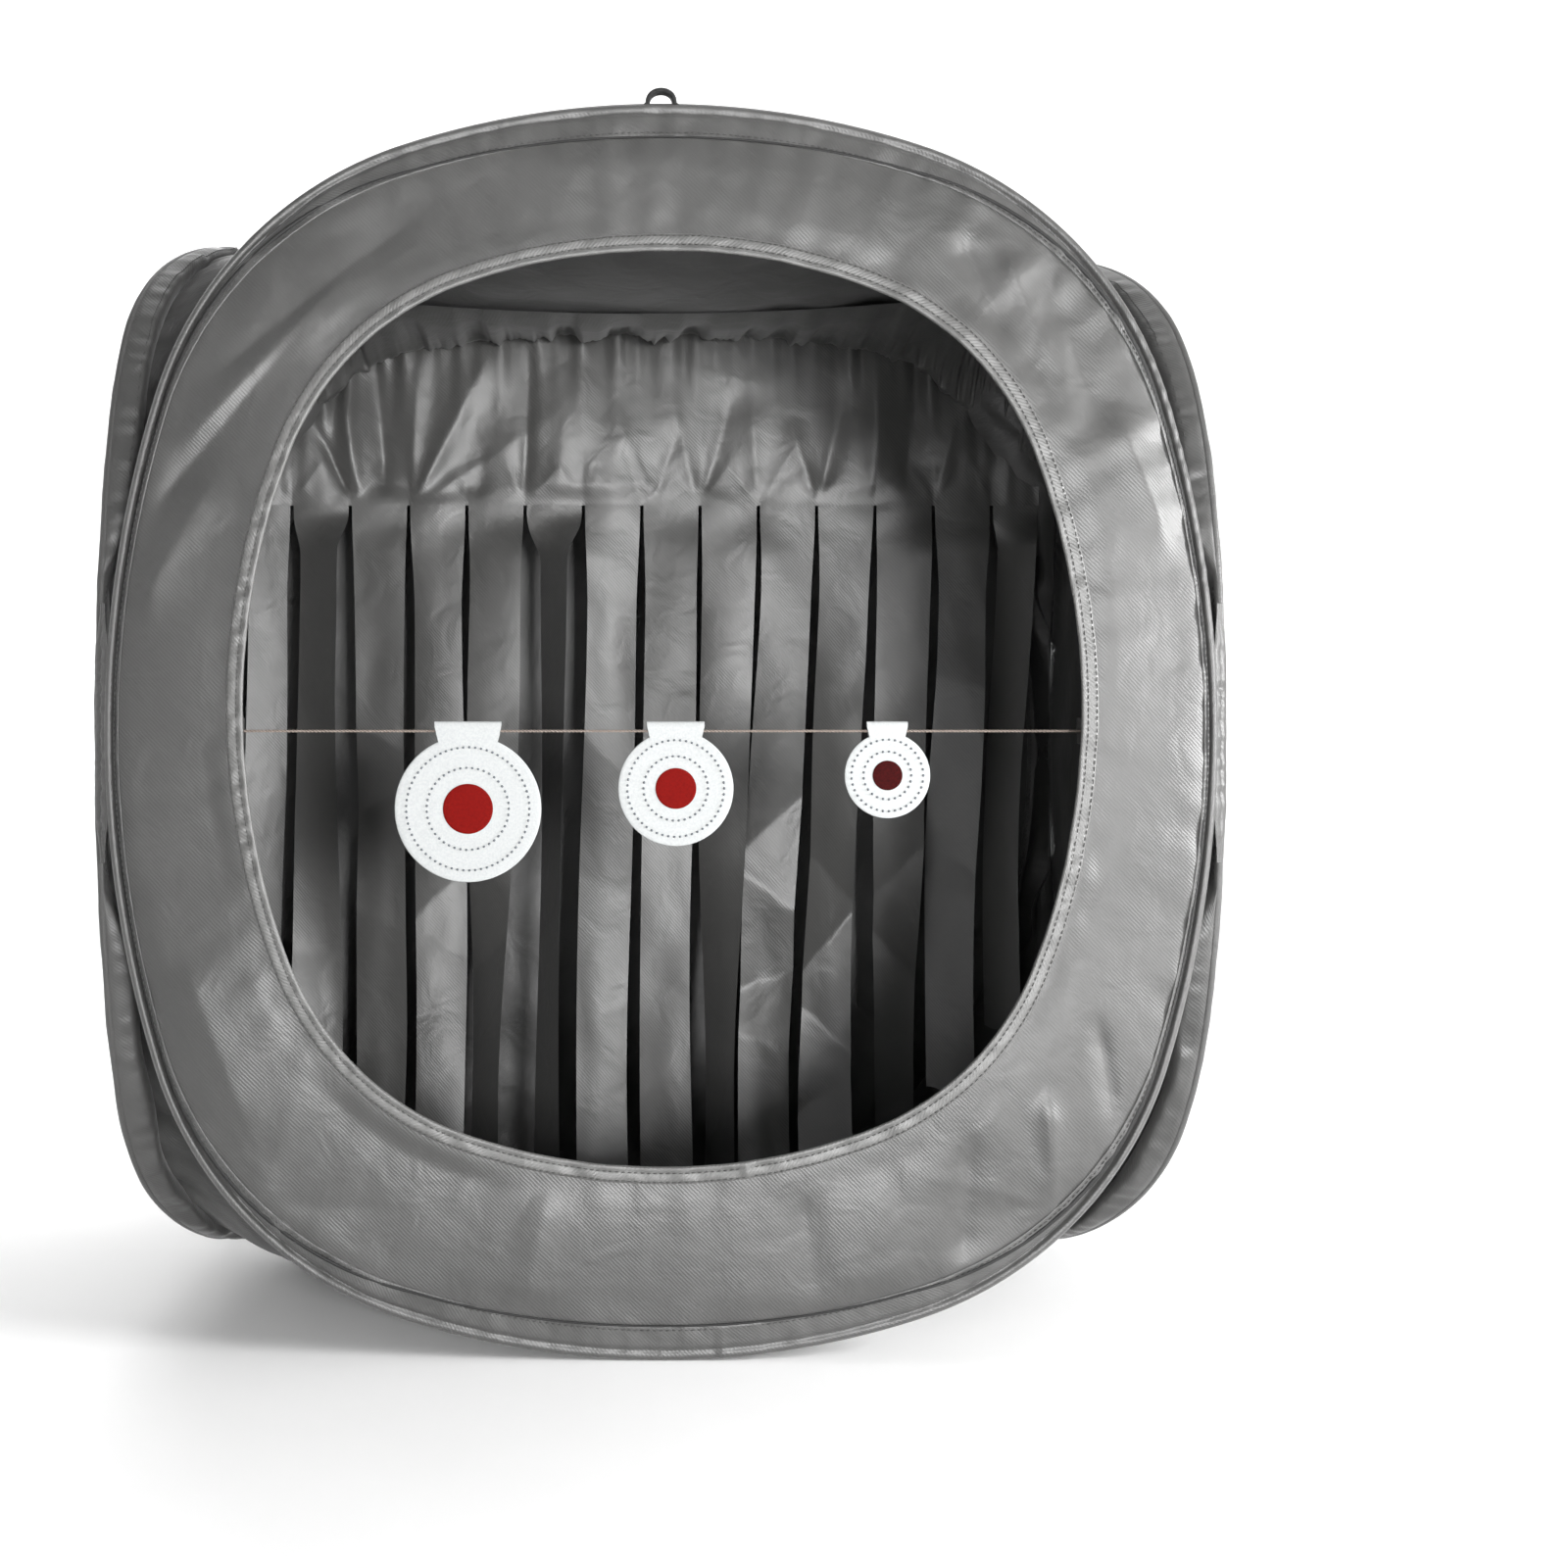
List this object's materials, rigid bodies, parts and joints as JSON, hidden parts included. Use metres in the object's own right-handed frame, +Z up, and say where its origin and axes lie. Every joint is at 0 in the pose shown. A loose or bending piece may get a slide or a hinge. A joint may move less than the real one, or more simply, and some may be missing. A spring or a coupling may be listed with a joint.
{
  "type": "pop-up pellet trap target tent",
  "caption": "Box-shaped pop-up fabric pellet trap with spring hoops, an open front, a slit curtain inside and round targets hanging on a line.",
  "frame": {"origin": "centre of the base, on the ground, midway between the outer faces of the front and back walls", "axes": "+Z up, the open front faces -Y, +X to the right as the shooter sees it"},
  "size_m": [0.6144, 0.4, 0.6855],
  "materials": {
    "wall_cloth": "grey polyester twill, slight sheen",
    "sleeve_cloth": "grey polyester binding, slight sheen",
    "base_cloth": "grey polyester twill, dull",
    "curtain_cloth": "dense grey polyester, cut edges",
    "piping": "light grey piping",
    "webbing": "black webbing",
    "line": "thin twisted cord",
    "spring_steel": "flat spring steel",
    "crimp": "crimped tube",
    "card": "white card",
    "red_spot": "red print",
    "dark_red_spot": "dark red print"
  },
  "bodies": {
    "front": {"hoop_front": "spring_steel", "ferrule_front": "crimp", "sleeve_front": "sleeve_cloth", "panel_front": "wall_cloth", "opening_hem": "sleeve_cloth", "hang_loop": "webbing", "roof_front": "wall_cloth", "floor_front": "base_cloth", "corner_seam_fl": "piping", "corner_seam_fr": "piping", "target_line": "line", "line_patches": "sleeve_cloth"},
    "left": {"hoop_left": "spring_steel", "ferrule_left": "crimp", "sleeve_left": "sleeve_cloth", "panel_left": "wall_cloth", "corner_seam_bl": "piping"},
    "back": {"hoop_back": "spring_steel", "ferrule_back": "crimp", "sleeve_back": "sleeve_cloth", "panel_back": "wall_cloth", "roof_rear": "wall_cloth", "floor_rear": "base_cloth", "corner_seam_br": "piping"},
    "right": {"hoop_right": "spring_steel", "ferrule_right": "crimp", "sleeve_right": "sleeve_cloth", "panel_right": "wall_cloth"},
    "curtain": {"curtain_header": "curtain_cloth", "gather_band": "curtain_cloth"},
    "strip_01": {"strip_01": "curtain_cloth"},
    "strip_02": {"strip_02": "curtain_cloth"},
    "strip_03": {"strip_03": "curtain_cloth"},
    "strip_04": {"strip_04": "curtain_cloth"},
    "strip_05": {"strip_05": "curtain_cloth"},
    "strip_06": {"strip_06": "curtain_cloth"},
    "strip_07": {"strip_07": "curtain_cloth"},
    "strip_08": {"strip_08": "curtain_cloth"},
    "strip_09": {"strip_09": "curtain_cloth"},
    "strip_10": {"strip_10": "curtain_cloth"},
    "strip_11": {"strip_11": "curtain_cloth"},
    "strip_12": {"strip_12": "curtain_cloth"},
    "strip_13": {"strip_13": "curtain_cloth"},
    "strip_14": {"strip_14": "curtain_cloth"},
    "target_large": {"target_large": "card", "bullseye_large": "red_spot"},
    "target_medium": {"target_medium": "card", "bullseye_medium": "red_spot"},
    "target_small": {"target_small": "card", "bullseye_small": "dark_red_spot"}
  },
  "joints": [
    {"name": "fold", "type": "hinge", "parent": "front", "child": "left", "pos_m": [-0.30155, -0.19435, 0.3385], "axis": [0, 0, 1], "range_deg": [-80, 0], "stiffness_Nm_per_rad": 0.5, "springref_deg": 20.05, "deforming": ["roof_front", "roof_rear", "floor_front", "floor_rear"]},
    {"name": "back_corner", "type": "hinge", "parent": "left", "child": "back", "pos_m": [-0.30155, 0.19435, 0.3385], "axis": [0, 0, 1], "range_deg": [0, 80]},
    {"name": "right_corner", "type": "hinge", "parent": "front", "child": "right", "pos_m": [0.30155, -0.19435, 0.3385], "axis": [0, 0, 1], "range_deg": [-80, 0]},
    {"name": "curtain_corner", "type": "hinge", "parent": "left", "child": "curtain", "pos_m": [-0.30155, 0.14, 0.513], "axis": [0, 0, 1], "range_deg": [0, 80]},
    {"name": "swing_01", "type": "hinge", "parent": "curtain", "child": "strip_01", "pos_m": [-0.269, 0.14, 0.5127], "axis": [1, 0, 0], "range_deg": [0, 6]},
    {"name": "swing_02", "type": "hinge", "parent": "curtain", "child": "strip_02", "pos_m": [-0.231, 0.14, 0.5127], "axis": [1, 0, 0], "range_deg": [0, 6]},
    {"name": "swing_03", "type": "hinge", "parent": "curtain", "child": "strip_03", "pos_m": [-0.189, 0.14, 0.5127], "axis": [1, 0, 0], "range_deg": [0, 6]},
    {"name": "swing_04", "type": "hinge", "parent": "curtain", "child": "strip_04", "pos_m": [-0.147, 0.14, 0.5127], "axis": [1, 0, 0], "range_deg": [0, 6]},
    {"name": "swing_05", "type": "hinge", "parent": "curtain", "child": "strip_05", "pos_m": [-0.105, 0.14, 0.5127], "axis": [1, 0, 0], "range_deg": [0, 6]},
    {"name": "swing_06", "type": "hinge", "parent": "curtain", "child": "strip_06", "pos_m": [-0.063, 0.14, 0.5127], "axis": [1, 0, 0], "range_deg": [0, 6]},
    {"name": "swing_07", "type": "hinge", "parent": "curtain", "child": "strip_07", "pos_m": [-0.021, 0.14, 0.5127], "axis": [1, 0, 0], "range_deg": [0, 6]},
    {"name": "swing_08", "type": "hinge", "parent": "curtain", "child": "strip_08", "pos_m": [0.021, 0.14, 0.5127], "axis": [1, 0, 0], "range_deg": [0, 6]},
    {"name": "swing_09", "type": "hinge", "parent": "curtain", "child": "strip_09", "pos_m": [0.063, 0.14, 0.5127], "axis": [1, 0, 0], "range_deg": [0, 6]},
    {"name": "swing_10", "type": "hinge", "parent": "curtain", "child": "strip_10", "pos_m": [0.105, 0.14, 0.5127], "axis": [1, 0, 0], "range_deg": [0, 6]},
    {"name": "swing_11", "type": "hinge", "parent": "curtain", "child": "strip_11", "pos_m": [0.147, 0.14, 0.5127], "axis": [1, 0, 0], "range_deg": [0, 6]},
    {"name": "swing_12", "type": "hinge", "parent": "curtain", "child": "strip_12", "pos_m": [0.189, 0.14, 0.5127], "axis": [1, 0, 0], "range_deg": [0, 6]},
    {"name": "swing_13", "type": "hinge", "parent": "curtain", "child": "strip_13", "pos_m": [0.231, 0.14, 0.5127], "axis": [1, 0, 0], "range_deg": [0, 6]},
    {"name": "swing_14", "type": "hinge", "parent": "curtain", "child": "strip_14", "pos_m": [0.269, 0.14, 0.5127], "axis": [1, 0, 0], "range_deg": [0, 6]},
    {"name": "spin_large", "type": "hinge", "parent": "front", "child": "target_large", "pos_m": [-0.104, -0.19615, 0.339], "axis": [-1, 0, 0], "continuous": true},
    {"name": "spin_medium", "type": "hinge", "parent": "front", "child": "target_medium", "pos_m": [0.008, -0.19615, 0.339], "axis": [-1, 0, 0], "continuous": true},
    {"name": "spin_small", "type": "hinge", "parent": "front", "child": "target_small", "pos_m": [0.122, -0.19615, 0.339], "axis": [-1, 0, 0], "continuous": true}
  ],
  "couplings": [
    {"joint": "back_corner", "follows": "fold", "ratio": -1},
    {"joint": "right_corner", "follows": "fold", "ratio": 1},
    {"joint": "curtain_corner", "follows": "fold", "ratio": -1}
  ]
}
